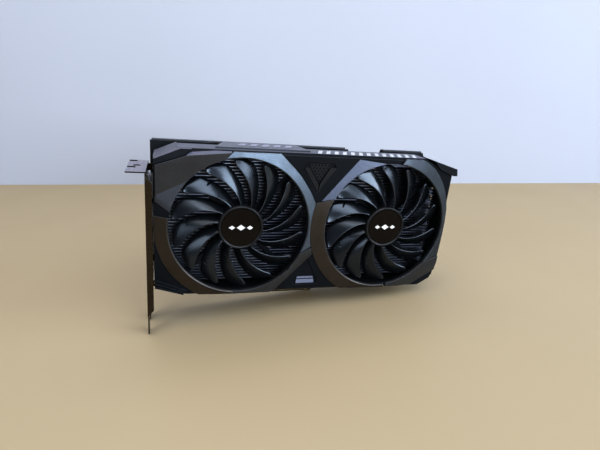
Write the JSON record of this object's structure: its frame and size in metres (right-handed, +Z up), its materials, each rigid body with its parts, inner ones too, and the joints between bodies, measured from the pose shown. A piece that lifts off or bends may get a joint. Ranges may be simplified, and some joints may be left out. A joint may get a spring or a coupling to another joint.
{
  "type": "graphics card",
  "caption": "Dual-fan computer graphics card: faceted dark shroud over a finned heatsink and circuit board, with a backplate, an edge connector and a two-slot bracket.",
  "frame": {"origin": "on the bracket's outer face, midway across its width and midway between the tab's top and the tongue tips", "axes": "+X along the card away from the bracket, +Y from the fans towards the backplate, +Z up with the edge connector below"},
  "size_m": [0.237, 0.0425, 0.1369],
  "materials": {
    "backplate_metal": "brushed black",
    "badge_plastic": "satin",
    "bearing_bronze": "sintered",
    "bezel_plastic": "satin gunmetal paint",
    "black_screw": "black oxide",
    "blade_plastic": "satin moulded",
    "board_mask": "black solder mask",
    "bracket_coat": "glossy black powder coat",
    "bracket_steel": "satin nickel plate",
    "bright_screw": "nickel plated",
    "cable_black": "matte",
    "can_metal": "satin",
    "chip_package": "matte epoxy",
    "choke_body": "matte",
    "copper": "satin",
    "fin_metal": "bare rolled",
    "gold": "polished",
    "header_plastic": "matte",
    "label_plastic": "satin",
    "magnet": "matte",
    "panel_plastic": "satin moulded",
    "paste": "matte",
    "print_white": "printed",
    "shaft_steel": "ground",
    "shroud_plastic": "fine moulded texture",
    "silicon": "polished",
    "socket_metal": "nickel plated",
    "socket_plastic": "matte",
    "spring_steel": "satin",
    "substrate": "satin laminate",
    "thermal_pad": "matte"
  },
  "bodies": {
    "card": {"io_bracket": "bracket_coat", "bracket_tab": "bracket_steel", "bracket_screws": "bright_screw", "circuit_board": "board_mask", "edge_contacts": "gold", "gpu_substrate": "substrate", "gpu_die": "silicon", "thermal_paste": "paste", "memory_chips": "chip_package", "memory_pads": "thermal_pad", "power_chokes": "choke_body", "power_stages": "chip_package", "capacitors": "can_metal", "displayport_shells": "socket_metal", "hdmi_shell": "socket_metal", "display_tongues": "socket_plastic", "power_socket": "socket_plastic", "power_pins": "gold", "fan_headers": "header_plastic", "cold_plate": "copper", "heat_pipes": "copper", "fin_stack": "fin_metal", "retention_spring": "spring_steel", "retention_screws": "bright_screw", "shroud": "shroud_plastic", "shroud_top": "shroud_plastic", "standoffs": "shroud_plastic", "shroud_screws": "black_screw", "backplate": "backplate_metal", "backplate_screws": "black_screw", "upper_left_panel": "panel_plastic", "left_upper_bezel": "bezel_plastic", "left_lower_bezel": "bezel_plastic", "centre_bar": "panel_plastic", "right_upper_facet": "bezel_plastic", "right_upper_bezel": "bezel_plastic", "right_lower_bezel": "bezel_plastic", "lower_right_panel": "panel_plastic", "corner_plates": "shroud_plastic", "centre_emblem": "panel_plastic", "lower_badge": "badge_plastic", "top_badge": "badge_plastic", "top_stripes": "print_white", "fan_screws": "black_screw", "left_bearing": "bearing_bronze", "left_stator": "copper", "left_fan_frame": "shroud_plastic", "left_fan_cable": "cable_black", "right_bearing": "bearing_bronze", "right_stator": "copper", "right_fan_frame": "shroud_plastic", "right_fan_cable": "cable_black"},
    "left_fan": {"left_rotor": "blade_plastic", "left_hub_label": "label_plastic", "left_magnet_ring": "magnet", "left_shaft": "shaft_steel"},
    "right_fan": {"right_rotor": "blade_plastic", "right_hub_label": "label_plastic", "right_magnet_ring": "magnet", "right_shaft": "shaft_steel"}
  },
  "joints": [
    {"name": "left_fan_spin", "type": "hinge", "parent": "card", "child": "left_fan", "pos_m": [0.0619, 0, 0.02281], "axis": [0, -1, 0], "continuous": true},
    {"name": "right_fan_spin", "type": "hinge", "parent": "card", "child": "right_fan", "pos_m": [0.1714, 0, 0.02281], "axis": [0, -1, 0], "continuous": true}
  ]
}
